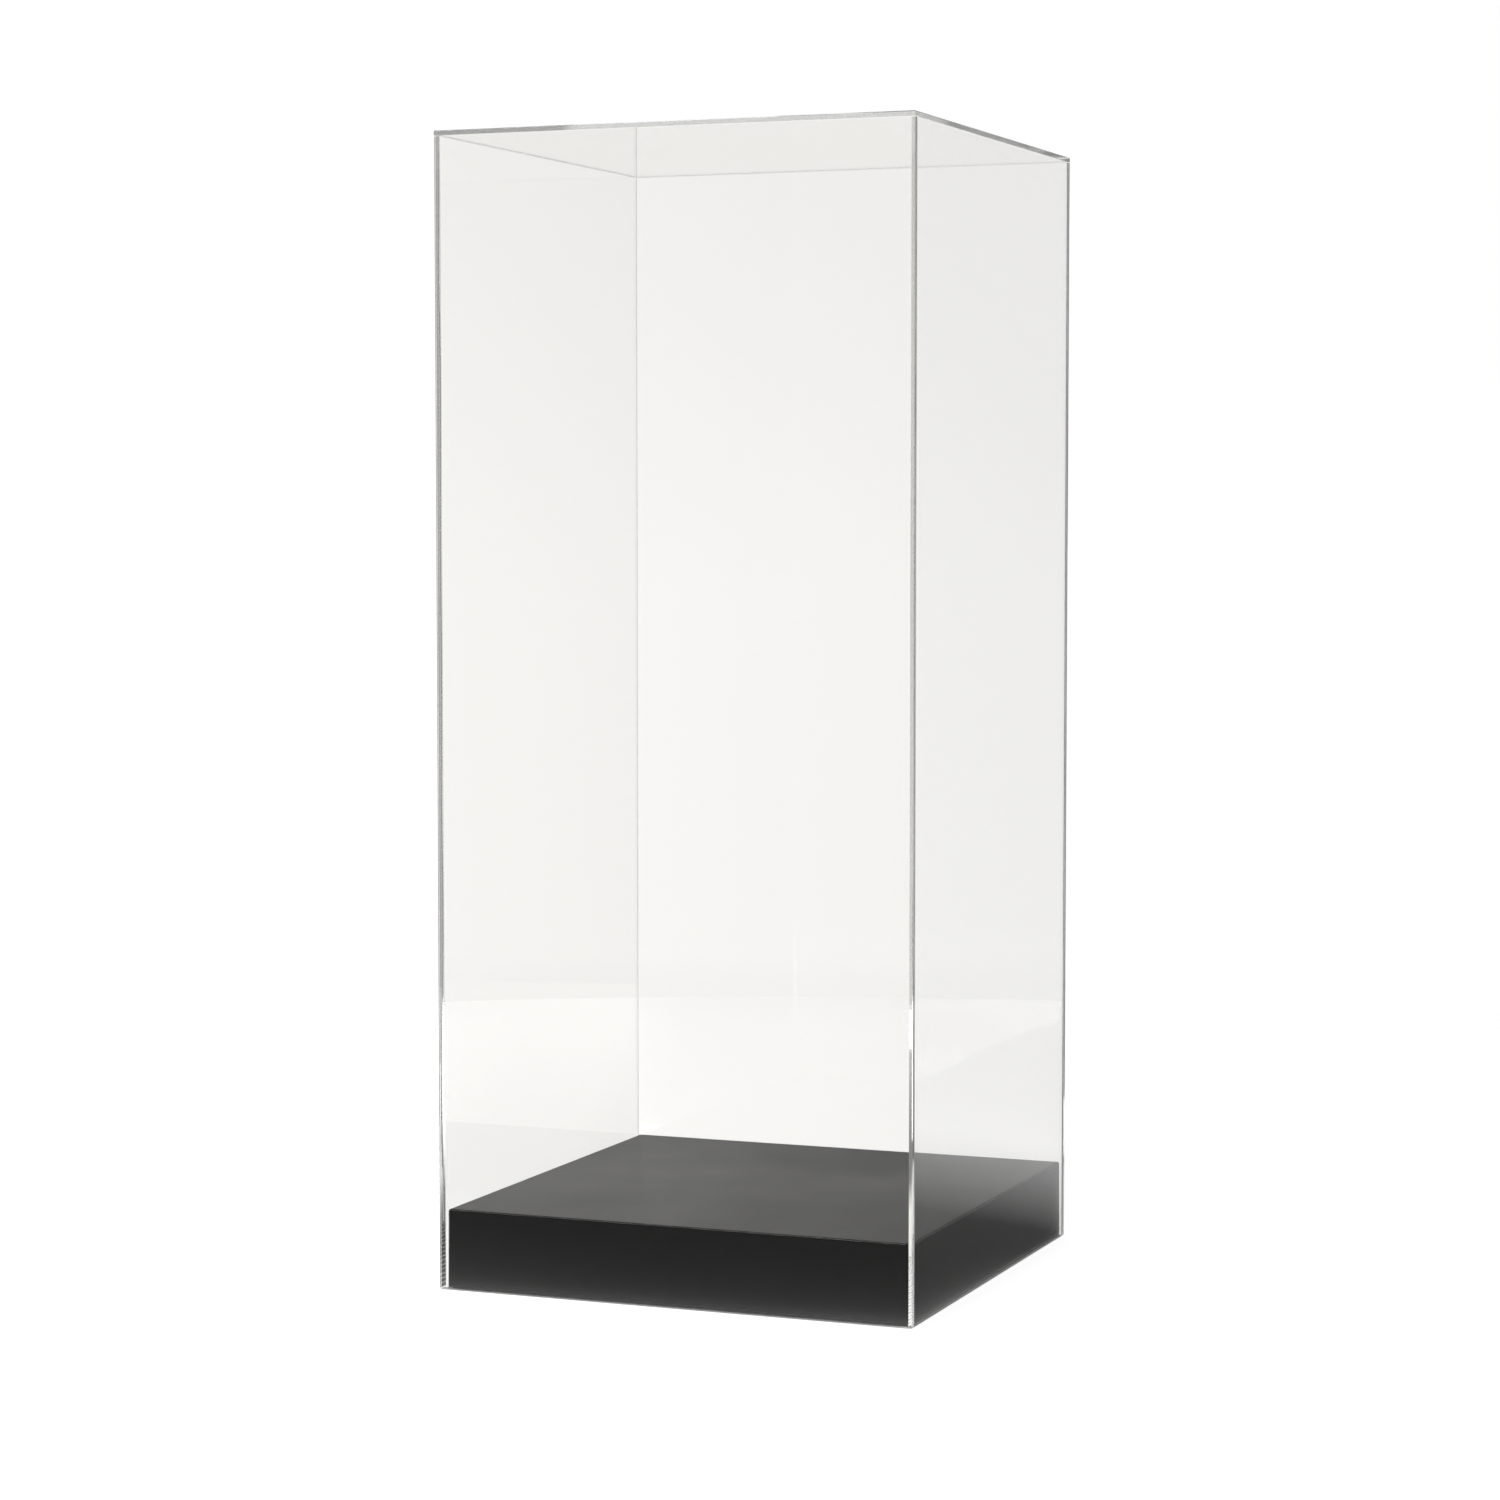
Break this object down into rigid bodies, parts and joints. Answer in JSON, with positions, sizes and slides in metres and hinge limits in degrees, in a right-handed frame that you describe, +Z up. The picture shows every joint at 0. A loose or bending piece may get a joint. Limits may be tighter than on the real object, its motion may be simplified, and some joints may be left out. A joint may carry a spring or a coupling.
{
  "type": "acrylic display cube",
  "caption": "Tall square display case: a clear five-sided cover that lifts straight up off a low black plinth.",
  "frame": {"origin": "middle of the square footprint, on the surface the object stands on", "axes": "+Z up, along which the cover lifts; -Y is the front and +X the right side seen from the front"},
  "size_m": [0.2, 0.2, 0.46],
  "materials": {
    "clear_acrylic": "polished",
    "black_acrylic": "satin",
    "glue_block": "matte",
    "rubber": "matte"
  },
  "bodies": {
    "plinth": {"deck_plate": "black_acrylic", "front_skirt": "black_acrylic", "right_skirt": "black_acrylic", "back_skirt": "black_acrylic", "left_skirt": "black_acrylic", "corner_block_front_left": "glue_block", "corner_block_front_right": "glue_block", "corner_block_back_right": "glue_block", "corner_block_back_left": "glue_block", "foot_front_left": "rubber", "foot_front_right": "rubber", "foot_back_right": "rubber", "foot_back_left": "rubber"},
    "cover": {"front_panel": "clear_acrylic", "right_panel": "clear_acrylic", "back_panel": "clear_acrylic", "left_panel": "clear_acrylic", "top_panel": "clear_acrylic"}
  },
  "joints": [
    {"name": "cover_lift", "type": "slide", "parent": "plinth", "child": "cover", "axis": [0, 0, 1], "range_m": [0, 0.47]}
  ]
}
